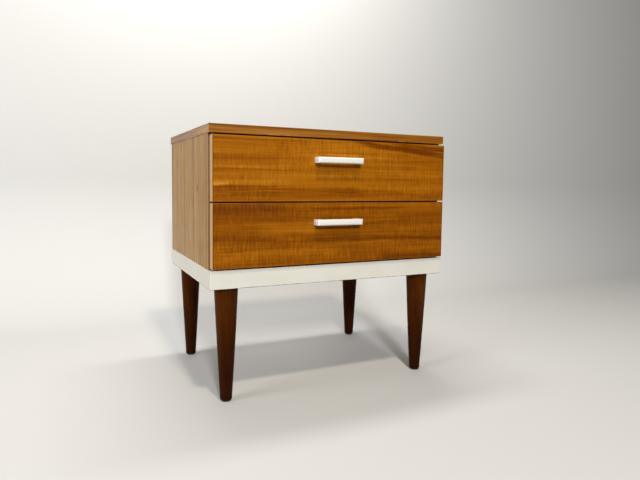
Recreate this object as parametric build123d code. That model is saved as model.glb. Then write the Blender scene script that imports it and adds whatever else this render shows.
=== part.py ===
"""Two-drawer bedside chest: veneered carcass, white base frame, four turned tapered legs.

Millimetres, +Z up, front towards -Y. The origin is on the floor, below the centre of the
whole object's box. Every board, strip, leg and fixing is its own solid in its own file.
"""
from build123d import *
import os

os.makedirs("parts", exist_ok=True)

# ---------------------------------------------------------------- driving dimensions
# Boards
BOARD = 17.0                # chipboard with its veneers
HARDBOARD = 3.5             # back panel and drawer bottoms
BOX_BOARD = 12.0            # drawer box sides, inner front and back

# Heights
LEG_HEIGHT = 232.0          # floor to the underside of the base frame, glide included
PLINTH_HEIGHT = 36.0
CARCASS_HEIGHT = 260.5      # side panels
DRAWER_FRONT_HEIGHT = 125.0
GAP_BELOW_FRONTS = 3.7      # base frame to lower front
GAP_BETWEEN_FRONTS = 2.9

# Widths, all centred on X = 0
CARCASS_WIDTH = 540.0
TOP_SIDE_OVERHANG = 1.5
PLINTH_SIDE_OVERHANG = 0.5
FRONT_SIDE_INSET = 2.0      # drawer front end to the panel's outer face

# Depths, measured from the front edge of the side panels
SIDE_DEPTH = 358.0
TOP_FRONT_OVERHANG = 13.5
PLINTH_FRONT_OVERHANG = 16.5
BACK_OVERHANG = 4.0         # top and base frame cover the hardboard's edge
FRONT_STANDOFF = 4.75       # drawer front's back face to the panel edge

# Edgings and softened edges
TOP_EDGING = 2.5
SIDE_EDGING = 1.5
FRONT_EDGING = 1.0
ARRIS = 0.6                 # rounding of veneered edges
PLINTH_ARRIS = 1.2
BACK_PANEL_INSET = 1.0      # back panel's edge inside the carcass outline

# Base frame and legs
PLINTH_RAIL = 19.0
CORNER_BLOCK = 70.0
CORNER_BLOCK_CUT = 24.0
LEG_X = 229.5
LEG_FROM_PLINTH_FRONT = 35.0
LEG_FROM_PLINTH_BACK = 27.0
LEG_TOP_RADIUS = 23.9
LEG_FOOT_RADIUS = 11.9
LEG_SWELL = 0.5             # how far the taper bows out at mid height
LEG_FOOT_ROUND = 2.0
GLIDE_RADIUS = 9.5
GLIDE_HEIGHT = 3.0
GLIDE_ROUND = 1.0
GLIDE_PIN_RADIUS = 1.0
GLIDE_PIN_LENGTH = 14.0
LEG_BOLT_RADIUS = 3.95
LEG_BOLT_HALF = 28.0        # length in the leg, and again in the block
LEG_BOLT_POINT = 0.8        # chamfer on both ends
BOLT_HOLE_CLEARANCE = 0.1
INSERT_RADIUS = 6.0
INSERT_LENGTH = 22.0

# Drawer boxes
BOX_HEIGHT = 100.0
BOX_DEPTH = 340.0
BOX_SIDE_CLEARANCE = 1.5
BOX_ABOVE_FRONT_EDGE = 17.5  # box bottom above the front's lower edge
FINGERS = 7
BOTTOM_GROOVE_DEPTH = 5.0
BOTTOM_ABOVE_BOX = 9.0
BOTTOM_CLEARANCE = 0.1
BOTTOM_SHORT_OF_GROOVE = 1.0  # from the panel's edge to the bottom of its groove
RUNNER_GROOVE_HEIGHT = 17.0
RUNNER_GROOVE_DEPTH = 7.0
RUNNER_CLEARANCE = 0.3
RUNNER_PROUD = 8.0
RUNNER_SETBACK = 10.0       # front end of the runner behind the panel edge
RUNNER_LENGTH = 330.0
RUNNER_NOSE = 2.0           # chamfer that leads the drawer on

# Handles
HANDLE_LENGTH = 103.0
HANDLE_HEIGHT = 12.0
HANDLE_PROJECTION = 22.0
HANDLE_BAR = 13.0
HANDLE_FOOT_WIDTH = 14.0
HANDLE_CHAMFER = 1.8
HANDLE_GAP_ROUND = 3.5      # inside corners between the bar and its feet
HANDLE_SHIFT = -6.2         # both handles sit a little left of the middle
UPPER_HANDLE_DROP = 42.0    # handle centre below its front's top edge
LOWER_HANDLE_DROP = 39.5
HANDLE_SCREW_GRIP = 8.0     # screw length inside the handle's foot

# Fixings
DOWEL_RADIUS = 4.0
DOWEL_LONG = 20.0           # in the edge of a board
DOWEL_SHORT = 10.0          # in the face of a board
NAIL_RADIUS = 0.8
NAIL_HEAD_RADIUS = 1.7
NAIL_HEAD = 0.4
NAIL_LENGTH = 18.0
RUNNER_SCREW_RADIUS = 1.75
RUNNER_SCREW_HEAD = 3.4
RUNNER_SCREW_IN_PANEL = 12.0
PLINTH_SCREW_RADIUS = 2.25
PLINTH_SCREW_HEAD = 4.5
PLINTH_SCREW_IN_BOARD = 10.0
PLINTH_SCREW_IN_CORNER = 14.0  # from the block's two free faces
PAN_HEAD_RADIUS = 3.8
PAN_HEAD = 2.2
PAN_HEAD_ROUND = 1.3
HANDLE_SCREW_RADIUS = 2.0
FRONT_SCREW_RADIUS = 1.75
FRONT_SCREW_IN_FRONT = 11.0
FRONT_SCREW_X = 190.0
FRONT_SCREW_Z = 28.0        # above and below the box's mid height

# Stations of the fixings, as parts of the length that they stand along
DOWEL_PARTS = (0.12, 0.5, 0.88)
RUNNER_SCREW_PARTS = (0.08, 0.5, 0.92)
PANEL_NAIL_PARTS = (0.16, 0.37, 0.58, 0.79, 0.95)
BOTTOM_NAIL_PARTS = (-0.3, -0.1, 0.1, 0.3)

CUT_PAST = 1.0              # how far a cutting shape runs past the face that it opens

# ---------------------------------------------------------------- derived places
FRONT_AHEAD = FRONT_STANDOFF + BOARD
TOTAL_DEPTH = HANDLE_PROJECTION + FRONT_AHEAD + SIDE_DEPTH + BACK_OVERHANG
PANEL_FRONT = -TOTAL_DEPTH / 2 + HANDLE_PROJECTION + FRONT_AHEAD
PANEL_BACK = PANEL_FRONT + SIDE_DEPTH
REAR = PANEL_BACK + BACK_OVERHANG
FACE = PANEL_FRONT - FRONT_AHEAD
BOX_FRONT = PANEL_FRONT - FRONT_STANDOFF
PLINTH_FRONT = PANEL_FRONT - PLINTH_FRONT_OVERHANG

PLINTH_TOP = LEG_HEIGHT + PLINTH_HEIGHT
PANEL_TOP = PLINTH_TOP + CARCASS_HEIGHT
TOP = PANEL_TOP + BOARD

HALF_WIDTH = CARCASS_WIDTH / 2
INNER_HALF = HALF_WIDTH - BOARD
TOP_HALF = HALF_WIDTH + TOP_SIDE_OVERHANG
PLINTH_HALF = HALF_WIDTH + PLINTH_SIDE_OVERHANG
FRONT_HALF = HALF_WIDTH - FRONT_SIDE_INSET
BOX_HALF = INNER_HALF - BOX_SIDE_CLEARANCE

LOWER_FRONT_BOTTOM = PLINTH_TOP + GAP_BELOW_FRONTS
UPPER_FRONT_BOTTOM = LOWER_FRONT_BOTTOM + DRAWER_FRONT_HEIGHT + GAP_BETWEEN_FRONTS

LEG_FRONT_Y = PLINTH_FRONT + LEG_FROM_PLINTH_FRONT
LEG_BACK_Y = REAR - LEG_FROM_PLINTH_BACK
CORNERS = {
    "front_left": (-LEG_X, LEG_FRONT_Y),
    "front_right": (LEG_X, LEG_FRONT_Y),
    "back_left": (-LEG_X, LEG_BACK_Y),
    "back_right": (LEG_X, LEG_BACK_Y),
}
SIDES = {"left": -1, "right": 1}
DRAWERS = {
    "upper": (UPPER_FRONT_BOTTOM, UPPER_HANDLE_DROP),
    "lower": (LOWER_FRONT_BOTTOM, LOWER_HANDLE_DROP),
}

RUNNER_FRONT = PANEL_FRONT + RUNNER_SETBACK
DOWEL_STATIONS = [PANEL_FRONT + SIDE_DEPTH * part for part in DOWEL_PARTS]
RUNNER_SCREW_STATIONS = [RUNNER_FRONT + RUNNER_LENGTH * part for part in RUNNER_SCREW_PARTS]
PANEL_NAIL_HEIGHTS = [PLINTH_TOP + CARCASS_HEIGHT * part for part in PANEL_NAIL_PARTS]
BOTTOM_NAIL_PLACES = [CARCASS_WIDTH * part for part in BOTTOM_NAIL_PARTS]


# ---------------------------------------------------------------- small helpers
def span_box(x, y, z):
    """A box that fills a (low, high) span on each axis."""
    sizes = [abs(span[1] - span[0]) for span in (x, y, z)]
    middles = [(span[0] + span[1]) / 2 for span in (x, y, z)]
    return Pos(*middles) * Box(*sizes)


def rod(centre, direction, radius, start, end):
    """A round bar along X, Y or Z, from start to end on that axis."""
    turns = {"X": Rot(0, 90, 0), "Y": Rot(-90, 0, 0), "Z": Rot(0, 0, 0)}
    places = {"X": (0.0, centre[0], centre[1]), "Y": (centre[0], 0.0, centre[1]),
              "Z": (centre[0], centre[1], 0.0)}
    middle = list(places[direction])
    middle["XYZ".index(direction)] = (start + end) / 2
    return Pos(*middle) * turns[direction] * Cylinder(radius, abs(end - start))


def countersink(centre, direction, shank, head, face, inward):
    """The cone of a countersunk head: widest on the face, narrowing inward (+1 or -1)."""
    depth = head - shank
    turns = {"X": Rot(0, 90 * inward, 0), "Z": Rot(90 - 90 * inward, 0, 0)}
    middle = face + inward * depth / 2
    places = {"X": (middle, centre[0], centre[1]), "Z": (centre[0], centre[1], middle)}
    return Pos(*places[direction]) * turns[direction] * Cone(head, shank, depth)


def write(name, shape):
    """Store one node. A list becomes a group of separate solids."""
    solid = Compound(children=list(shape)) if isinstance(shape, list) else shape
    solid.label = name
    export_step(solid, f"parts/{name}.step")


# ---------------------------------------------------------------- fixings of the carcass
def top_dowels():
    return [
        rod((side * (HALF_WIDTH - BOARD / 2), y), "Z", DOWEL_RADIUS,
            PANEL_TOP - DOWEL_LONG, PANEL_TOP + DOWEL_SHORT)
        for side in SIDES.values() for y in DOWEL_STATIONS
    ]


def bottom_dowels():
    height = PLINTH_TOP + BOARD / 2
    return [
        rod((y, height), "X", DOWEL_RADIUS,
            side * (INNER_HALF - DOWEL_LONG), side * (INNER_HALF + DOWEL_SHORT))
        for side in SIDES.values() for y in DOWEL_STATIONS
    ]


def runner_mid_heights():
    return [front_bottom + BOX_ABOVE_FRONT_EDGE + BOX_HEIGHT / 2 for front_bottom, _ in DRAWERS.values()]


def runner_screws():
    screws = []
    for side in SIDES.values():
        face = side * (INNER_HALF - RUNNER_PROUD)
        tip = side * (INNER_HALF + RUNNER_SCREW_IN_PANEL)
        for height in runner_mid_heights():
            for y in RUNNER_SCREW_STATIONS:
                shank = rod((y, height), "X", RUNNER_SCREW_RADIUS, face, tip)
                head = countersink((y, height), "X", RUNNER_SCREW_RADIUS, RUNNER_SCREW_HEAD, face, side)
                screws.append(shank + head)
    return screws


def nail_places():
    """Where the pins go: up both side panels, and along the bottom board."""
    up_the_sides = [
        (side * (HALF_WIDTH - BOARD / 2), height)
        for side in SIDES.values() for height in PANEL_NAIL_HEIGHTS
    ]
    along_bottom = [(x, PLINTH_TOP + BOARD / 2) for x in BOTTOM_NAIL_PLACES]
    return up_the_sides + along_bottom


def back_panel_nails():
    outside = PANEL_BACK + HARDBOARD
    nails = []
    for place in nail_places():
        shank = rod(place, "Y", NAIL_RADIUS, outside - NAIL_LENGTH, outside)
        head = rod(place, "Y", NAIL_HEAD_RADIUS, outside, outside + NAIL_HEAD)
        nails.append(shank + head)
    return nails


def plinth_screw_place(corner):
    """The screw stands near the free inner corner of its block."""
    block_x, block_y = block_spans(corner)
    x = block_x[1] - PLINTH_SCREW_IN_CORNER if block_x[0] < 0 else block_x[0] + PLINTH_SCREW_IN_CORNER
    y = block_y[1] - CORNER_BLOCK_CUT if corner.startswith("front") else block_y[0] + CORNER_BLOCK_CUT
    return x, y


def plinth_screw(corner):
    place = plinth_screw_place(corner)
    shank = rod(place, "Z", PLINTH_SCREW_RADIUS, LEG_HEIGHT, PLINTH_TOP + PLINTH_SCREW_IN_BOARD)
    head = countersink(place, "Z", PLINTH_SCREW_RADIUS, PLINTH_SCREW_HEAD, LEG_HEIGHT, 1)
    return shank + head


# ---------------------------------------------------------------- carcass boards
def side_panel(side):
    panel = span_box(
        (side * INNER_HALF, side * HALF_WIDTH),
        (PANEL_FRONT + SIDE_EDGING, PANEL_BACK),
        (PLINTH_TOP, PANEL_TOP),
    )
    return panel - top_dowels() - bottom_dowels() - runner_screws() - back_panel_nails()


def side_front_edging(side):
    strip = span_box(
        (side * INNER_HALF, side * HALF_WIDTH),
        (PANEL_FRONT, PANEL_FRONT + SIDE_EDGING),
        (PLINTH_TOP, PANEL_TOP),
    )
    long_edges = strip.edges().filter_by(Axis.Z).group_by(Axis.Y)[0]
    return fillet(long_edges, ARRIS)


def top_board():
    half = TOP_HALF - TOP_EDGING
    board = span_box(
        (-half, half),
        (PANEL_FRONT - TOP_FRONT_OVERHANG + TOP_EDGING, REAR),
        (PANEL_TOP, TOP),
    )
    return board - top_dowels()


def top_front_edging():
    front = PANEL_FRONT - TOP_FRONT_OVERHANG
    strip = span_box((-TOP_HALF, TOP_HALF), (front, front + TOP_EDGING), (PANEL_TOP, TOP))
    return fillet(strip.edges().group_by(Axis.Y)[0], ARRIS)


def top_side_edging(side):
    strip = span_box(
        (side * (TOP_HALF - TOP_EDGING), side * TOP_HALF),
        (PANEL_FRONT - TOP_FRONT_OVERHANG + TOP_EDGING, REAR),
        (PANEL_TOP, TOP),
    )
    outermost = -1 if side > 0 else 0
    return fillet(strip.edges().filter_by(Axis.Y).group_by(Axis.X)[outermost], ARRIS)


def bottom_board():
    board = span_box(
        (-INNER_HALF, INNER_HALF),
        (PANEL_FRONT + SIDE_EDGING, PANEL_BACK),
        (PLINTH_TOP, PLINTH_TOP + BOARD),
    )
    screws = [plinth_screw(corner) for corner in CORNERS]
    return board - bottom_dowels() - screws - back_panel_nails()


def back_panel():
    half = HALF_WIDTH - BACK_PANEL_INSET
    panel = span_box(
        (-half, half),
        (PANEL_BACK, PANEL_BACK + HARDBOARD),
        (PLINTH_TOP, PANEL_TOP - BACK_PANEL_INSET),
    )
    return panel - back_panel_nails()


def runner(side, front_bottom):
    middle = front_bottom + BOX_ABOVE_FRONT_EDGE + BOX_HEIGHT / 2
    half = RUNNER_GROOVE_HEIGHT / 2 - RUNNER_CLEARANCE
    strip = span_box(
        (side * (INNER_HALF - RUNNER_PROUD), side * INNER_HALF),
        (RUNNER_FRONT, RUNNER_FRONT + RUNNER_LENGTH),
        (middle - half, middle + half),
    )
    upright_front = strip.edges().filter_by(Axis.Z).group_by(Axis.Y)[0]
    inner_first = upright_front.sort_by(lambda edge: abs(edge.center().X))
    eased = chamfer(inner_first[0], RUNNER_NOSE)
    return eased - runner_screws()


# ---------------------------------------------------------------- base frame and legs
def plinth_frame():
    """The four rails in one, with softened outer edges, before the mitres are cut."""
    outside = span_box((-PLINTH_HALF, PLINTH_HALF), (PLINTH_FRONT, REAR), (LEG_HEIGHT, PLINTH_TOP))
    outside = fillet(outside.edges().filter_by(Axis.Z), PLINTH_ARRIS)
    lower_rim = outside.edges().group_by(Axis.Z)[0]
    outside = fillet(lower_rim, ARRIS)
    inside = span_box(
        (-PLINTH_HALF + PLINTH_RAIL, PLINTH_HALF - PLINTH_RAIL),
        (PLINTH_FRONT + PLINTH_RAIL, REAR - PLINTH_RAIL),
        (LEG_HEIGHT - CUT_PAST, PLINTH_TOP + CUT_PAST),
    )
    return outside - inside


def mitred_wedge(outer_start, outer_end, inner_end, inner_start):
    """The upright prism that holds one rail, mitre to mitre."""
    outline = Polyline(outer_start, outer_end, inner_end, inner_start, close=True)
    return Pos(0, 0, LEG_HEIGHT) * extrude(make_face(outline), amount=PLINTH_HEIGHT)


def plinth_rails():
    x, t = PLINTH_HALF, PLINTH_RAIL
    front, back = PLINTH_FRONT, REAR
    outer = {"fl": (-x, front), "fr": (x, front), "br": (x, back), "bl": (-x, back)}
    inner = {"fl": (-x + t, front + t), "fr": (x - t, front + t),
             "br": (x - t, back - t), "bl": (-x + t, back - t)}
    ends = {"front": ("fl", "fr"), "right": ("fr", "br"), "back": ("br", "bl"), "left": ("bl", "fl")}
    frame = plinth_frame()
    rails = {}
    for name, (start, end) in ends.items():
        wedge = mitred_wedge(outer[start], outer[end], inner[end], inner[start])
        rails[name] = frame & wedge
    return rails


def block_spans(corner):
    """The block fills the corner between two rails."""
    inner_x = PLINTH_HALF - PLINTH_RAIL
    x = (-inner_x, -inner_x + CORNER_BLOCK) if corner.endswith("left") else (inner_x - CORNER_BLOCK, inner_x)
    inner_front, inner_back = PLINTH_FRONT + PLINTH_RAIL, REAR - PLINTH_RAIL
    if corner.startswith("front"):
        return x, (inner_front, inner_front + CORNER_BLOCK)
    return x, (inner_back - CORNER_BLOCK, inner_back)


def corner_block(corner):
    x, y = block_spans(corner)
    block = span_box(x, y, (LEG_HEIGHT, PLINTH_TOP))
    uprights = block.edges().filter_by(Axis.Z)
    free_corner = uprights.sort_by(lambda edge: edge.center().X ** 2 + edge.center().Y ** 2)[0]
    block = chamfer(free_corner, CORNER_BLOCK_CUT)
    insert_hole = rod(CORNERS[corner], "Z", INSERT_RADIUS, LEG_HEIGHT, LEG_HEIGHT + INSERT_LENGTH)
    bolt_hole = rod(CORNERS[corner], "Z", LEG_BOLT_RADIUS + BOLT_HOLE_CLEARANCE,
                    LEG_HEIGHT, LEG_HEIGHT + LEG_BOLT_HALF + CUT_PAST)
    return block - insert_hole - bolt_hole - plinth_screw(corner)


def leg_bolt(corner):
    bolt = rod(CORNERS[corner], "Z", LEG_BOLT_RADIUS, LEG_HEIGHT - LEG_BOLT_HALF, LEG_HEIGHT + LEG_BOLT_HALF)
    return chamfer(bolt.edges().filter_by(GeomType.CIRCLE), LEG_BOLT_POINT)


def insert_nut(corner):
    place = CORNERS[corner]
    sleeve = rod(place, "Z", INSERT_RADIUS, LEG_HEIGHT, LEG_HEIGHT + INSERT_LENGTH)
    thread = rod(place, "Z", LEG_BOLT_RADIUS, LEG_HEIGHT, LEG_HEIGHT + INSERT_LENGTH)
    return sleeve - thread


def leg(corner):
    """Turned leg: a long taper that bows out slightly, and a rounded foot."""
    foot = GLIDE_HEIGHT
    middle = ((LEG_TOP_RADIUS + LEG_FOOT_RADIUS) / 2 + LEG_SWELL, (LEG_HEIGHT + foot) / 2)
    taper = ThreePointArc((LEG_TOP_RADIUS, LEG_HEIGHT), middle, (LEG_FOOT_RADIUS, foot + LEG_FOOT_ROUND))
    sole = Line((LEG_FOOT_RADIUS - LEG_FOOT_ROUND, foot), (0, foot))
    round_foot = RadiusArc(taper @ 1, sole @ 0, LEG_FOOT_ROUND)
    axis_line = Line(sole @ 1, (0, LEG_HEIGHT))
    head = Line(axis_line @ 1, taper @ 0)
    profile = make_face(Wire([taper, round_foot, sole, axis_line, head]))
    turned = revolve(Plane.XZ * profile, Axis.Z)
    hole_bottom = LEG_HEIGHT - LEG_BOLT_HALF
    bolt_hole = rod((0, 0), "Z", LEG_BOLT_RADIUS, hole_bottom, LEG_HEIGHT)
    pin_hole = rod((0, 0), "Z", GLIDE_PIN_RADIUS, foot, foot + GLIDE_PIN_LENGTH)
    return Pos(*CORNERS[corner], 0) * (turned - bolt_hole - pin_hole)


def glide(corner):
    disc = rod(CORNERS[corner], "Z", GLIDE_RADIUS, 0, GLIDE_HEIGHT)
    disc = fillet(disc.edges().group_by(Axis.Z)[0], GLIDE_ROUND)
    pin = rod(CORNERS[corner], "Z", GLIDE_PIN_RADIUS, GLIDE_HEIGHT, GLIDE_HEIGHT + GLIDE_PIN_LENGTH)
    return disc + pin


# ---------------------------------------------------------------- drawers
class Drawer:
    """One drawer: an overlay front on a finger-jointed box that hangs on two runners."""

    def __init__(self, front_bottom, handle_drop):
        self.front_bottom = front_bottom
        self.front_top = front_bottom + DRAWER_FRONT_HEIGHT
        self.bottom = front_bottom + BOX_ABOVE_FRONT_EDGE
        self.top = self.bottom + BOX_HEIGHT
        self.middle = (self.bottom + self.top) / 2
        self.handle_z = self.front_top - handle_drop
        self.back = BOX_FRONT + BOX_DEPTH
        self.handle_screw_x = HANDLE_LENGTH / 2 - HANDLE_FOOT_WIDTH / 2

    def handle_screws(self):
        inside = BOX_FRONT + BOX_BOARD
        tip = FACE - HANDLE_SCREW_GRIP
        screws = []
        for side in SIDES.values():
            place = (HANDLE_SHIFT + side * self.handle_screw_x, self.handle_z)
            shank = rod(place, "Y", HANDLE_SCREW_RADIUS, tip, inside)
            screws.append(shank + self.pan_head(place, inside))
        return screws

    def front_screws(self):
        inside = BOX_FRONT + BOX_BOARD
        screws = []
        for x in (-FRONT_SCREW_X, FRONT_SCREW_X):
            for z in (self.middle - FRONT_SCREW_Z, self.middle + FRONT_SCREW_Z):
                shank = rod((x, z), "Y", FRONT_SCREW_RADIUS, BOX_FRONT - FRONT_SCREW_IN_FRONT, inside)
                screws.append(shank + self.pan_head((x, z), inside))
        return screws

    @staticmethod
    def pan_head(place, inside):
        head = rod(place, "Y", PAN_HEAD_RADIUS, inside, inside + PAN_HEAD)
        return fillet(head.edges().group_by(Axis.Y)[-1], PAN_HEAD_ROUND)

    def front(self):
        half = FRONT_HALF - FRONT_EDGING
        board = span_box((-half, half), (FACE, BOX_FRONT), (self.front_bottom, self.front_top))
        face_edges = board.edges().filter_by(Axis.X).group_by(Axis.Y)[0]
        board = fillet(face_edges, ARRIS)
        return board - self.handle_screws() - self.front_screws()

    def front_edging(self, side):
        strip = span_box(
            (side * (FRONT_HALF - FRONT_EDGING), side * FRONT_HALF),
            (FACE, BOX_FRONT),
            (self.front_bottom, self.front_top),
        )
        outermost = -1 if side > 0 else 0
        outer_face = strip.edges().group_by(Axis.X)[outermost]
        return fillet(outer_face, ARRIS)

    def corner_fingers(self, odd):
        """Every second slice of the four corner posts, which one board of a joint gives up."""
        slice_height = BOX_HEIGHT / FINGERS
        posts_y = [(BOX_FRONT, BOX_FRONT + BOX_BOARD), (self.back - BOX_BOARD, self.back)]
        slices = []
        for side in SIDES.values():
            post_x = (side * (BOX_HALF - BOX_BOARD), side * BOX_HALF)
            for post_y in posts_y:
                for index in range(int(odd), FINGERS, 2):
                    low = self.bottom + index * slice_height
                    slices.append(span_box(post_x, post_y, (low, low + slice_height)))
        return slices

    def runner_grooves(self):
        """Stopped grooves on the outer faces, open at the back."""
        half = RUNNER_GROOVE_HEIGHT / 2
        start = RUNNER_FRONT - RUNNER_CLEARANCE
        return [
            span_box(
                (side * (BOX_HALF - RUNNER_GROOVE_DEPTH), side * (BOX_HALF + CUT_PAST)),
                (start, self.back + CUT_PAST),
                (self.middle - half, self.middle + half),
            )
            for side in SIDES.values()
        ]

    def bottom_panel_space(self, clearance):
        """The bottom panel with a clearance all round, which also cuts its grooves."""
        into_boards = BOTTOM_GROOVE_DEPTH - BOTTOM_SHORT_OF_GROOVE + clearance
        half = BOX_HALF - BOX_BOARD + into_boards
        low = self.bottom + BOTTOM_ABOVE_BOX
        return span_box(
            (-half, half),
            (BOX_FRONT + BOX_BOARD - into_boards, self.back - BOX_BOARD + into_boards),
            (low - clearance, low + HARDBOARD + clearance),
        )

    def box_side(self, side):
        board = span_box(
            (side * (BOX_HALF - BOX_BOARD), side * BOX_HALF),
            (BOX_FRONT, self.back),
            (self.bottom, self.top),
        )
        board = fillet(board.edges().filter_by(Axis.Y).group_by(Axis.Z)[-1], ARRIS)
        board = board - self.corner_fingers(odd=True)
        return board - self.runner_grooves() - self.bottom_panel_space(BOTTOM_CLEARANCE)

    def box_end(self, y):
        board = span_box((-BOX_HALF, BOX_HALF), y, (self.bottom, self.top))
        board = board - self.corner_fingers(odd=False)
        return board - self.runner_grooves() - self.bottom_panel_space(BOTTOM_CLEARANCE)

    def inner_front(self):
        board = self.box_end((BOX_FRONT, BOX_FRONT + BOX_BOARD))
        return board - self.handle_screws() - self.front_screws()

    def box_back(self):
        return self.box_end((self.back - BOX_BOARD, self.back))

    def handle(self):
        """One moulding: a chamfered bar on two feet, with room for fingers behind."""
        half = HANDLE_LENGTH / 2
        z = (self.handle_z - HANDLE_HEIGHT / 2, self.handle_z + HANDLE_HEIGHT / 2)
        body = span_box((HANDLE_SHIFT - half, HANDLE_SHIFT + half), (FACE - HANDLE_PROJECTION, FACE), z)
        body = chamfer(body.edges().group_by(Axis.Y)[0], HANDLE_CHAMFER)
        gap_half = half - HANDLE_FOOT_WIDTH
        bar_back = FACE - HANDLE_PROJECTION + HANDLE_BAR
        gap = span_box(
            (HANDLE_SHIFT - gap_half, HANDLE_SHIFT + gap_half),
            (bar_back, FACE + CUT_PAST),
            (z[0] - CUT_PAST, z[1] + CUT_PAST),
        )
        body = body - gap
        inside_corners = body.edges().filter_by(Axis.Z).filter_by_position(Axis.Y, bar_back, bar_back)
        body = fillet(inside_corners, HANDLE_GAP_ROUND)
        return body - self.handle_screws()

    def pieces(self):
        return {
            "front": self.front(),
            "front_left_edging": self.front_edging(-1),
            "front_right_edging": self.front_edging(1),
            "left_side": self.box_side(-1),
            "right_side": self.box_side(1),
            "inner_front": self.inner_front(),
            "back": self.box_back(),
            "bottom": self.bottom_panel_space(0.0),
            "handle": self.handle(),
            "handle_screws": self.handle_screws(),
            "front_screws": self.front_screws(),
        }


# ---------------------------------------------------------------- writing the nodes
write("top_board", top_board())
write("top_front_edging", top_front_edging())
write("bottom_board", bottom_board())
write("back_panel", back_panel())
write("back_panel_nails", back_panel_nails())
write("top_dowels", top_dowels())
write("bottom_dowels", bottom_dowels())
write("runner_screws", runner_screws())

for side_name, side_sign in SIDES.items():
    write(f"{side_name}_side_panel", side_panel(side_sign))
    write(f"{side_name}_side_front_edging", side_front_edging(side_sign))
    write(f"top_{side_name}_edging", top_side_edging(side_sign))
    for drawer_name, (front_bottom, _) in DRAWERS.items():
        write(f"{drawer_name}_{side_name}_runner", runner(side_sign, front_bottom))

for rail_name, rail in plinth_rails().items():
    write(f"plinth_{rail_name}_rail", rail)

for corner_name in CORNERS:
    write(f"{corner_name}_corner_block", corner_block(corner_name))
    write(f"{corner_name}_leg", leg(corner_name))
    write(f"{corner_name}_glide", glide(corner_name))

write("plinth_screws", [plinth_screw(corner_name) for corner_name in CORNERS])
write("leg_bolts", [leg_bolt(corner_name) for corner_name in CORNERS])
write("leg_insert_nuts", [insert_nut(corner_name) for corner_name in CORNERS])

for drawer_name, (front_bottom, handle_drop) in DRAWERS.items():
    for piece_name, piece in Drawer(front_bottom, handle_drop).pieces().items():
        write(f"{drawer_name}_drawer_{piece_name}", piece)
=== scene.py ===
"""Looks of a two-drawer bedside chest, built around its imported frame. Everything is in metres."""
import math

import bmesh
import bpy
from mathutils import Matrix, Vector


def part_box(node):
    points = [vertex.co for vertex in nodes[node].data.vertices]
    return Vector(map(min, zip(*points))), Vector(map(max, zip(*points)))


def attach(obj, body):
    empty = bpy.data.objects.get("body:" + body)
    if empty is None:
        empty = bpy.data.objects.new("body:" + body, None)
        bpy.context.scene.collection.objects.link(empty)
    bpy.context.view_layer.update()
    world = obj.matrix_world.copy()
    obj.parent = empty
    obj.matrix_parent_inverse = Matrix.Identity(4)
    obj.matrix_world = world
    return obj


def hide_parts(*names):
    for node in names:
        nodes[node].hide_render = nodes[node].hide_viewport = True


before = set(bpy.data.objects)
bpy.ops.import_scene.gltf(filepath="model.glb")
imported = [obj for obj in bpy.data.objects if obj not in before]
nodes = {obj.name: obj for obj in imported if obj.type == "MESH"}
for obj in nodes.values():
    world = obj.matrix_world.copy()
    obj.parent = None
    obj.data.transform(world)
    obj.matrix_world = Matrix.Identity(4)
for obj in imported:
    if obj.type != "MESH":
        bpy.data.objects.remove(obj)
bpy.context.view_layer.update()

# ---------------------------------------------------------------- sizes
# Sizes of the new pieces
HANDLE_BAR = 0.013          # thickness of the bar, front to back
HANDLE_FOOT = 0.014         # width of each foot
HANDLE_CHAMFER = 0.0022     # round the front of the bar
HANDLE_SOFTENING = 0.0004   # every other edge of the moulding
LEG_FOOT_RADIUS = 0.0119
LEG_FOOT_ROUND = 0.002
LEG_SWELL = 0.0005          # how far the taper bows out at mid height
LEG_TOP_CHAMFER = 0.0006
LEG_STEPS = 72
SCREW_STEPS = 28
SLOT_WIDTH = 0.0009
SLOT_DEPTH = 0.0009
PAN_HEAD_RADIUS = 0.0038
PAN_HEAD_HEIGHT = 0.0022
HANDLE_SCREW_RADIUS = 0.0020
FRONT_SCREW_RADIUS = 0.00175
PLINTH_SCREW_HEAD = 0.0045
PLINTH_SCREW_RADIUS = 0.00225
SLOT_TURN = 25              # degrees that a group's first slot is turned
SLOT_TURN_STEP = 67         # and how much more for each next one
TOUCHING = 1e-6             # points nearer than this are in one place
ON_CUT = 1e-7               # points nearer than this to a cut are on it
FLAT_ANGLE = 0.02           # radians: faces nearer than this to one plane become one
CRISP_ANGLE = 0.4           # radians: handle edges sharper than this are softened

# Sizes that the finishes need
FRONT_HALF_HEIGHT = 0.0625
WORN_AND_LIT_EDGE = 0.0011          # how far in from an edge the wear and the painted highlight show
SCREEN_MESH = 0.0013        # of the screen that hardboard is pressed on
PAST_ENDS = Vector((0.01, 0.0, 0.0))    # leaves the ends of a front out of its worn, highlighted edges

CORNERS = ("front_left", "front_right", "back_left", "back_right")

# How a pattern is turned, so that its X runs along the grain and its Y across it
ALONG_X = (0.0, 0.0, 0.0)                           # flat boards: across is Y
ALONG_X_UPRIGHT = (math.radians(-90), 0.0, 0.0)     # upright boards: across is Z
ALONG_Y_UPRIGHT = (math.radians(-90), math.radians(-90), 0.0)   # the same, running back
ALONG_Z = (0.0, math.radians(90), 0.0)              # grain up the piece: across is Y
ALONG_Z_FACING = (math.radians(90), 0.0, math.radians(90))      # the same, facing front: across is X
X_AXIS = (1.0, 0.0, 0.0)
Y_AXIS = (0.0, 1.0, 0.0)


def rgb(red, green, blue):
    return (red, green, blue, 1.0)


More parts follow.
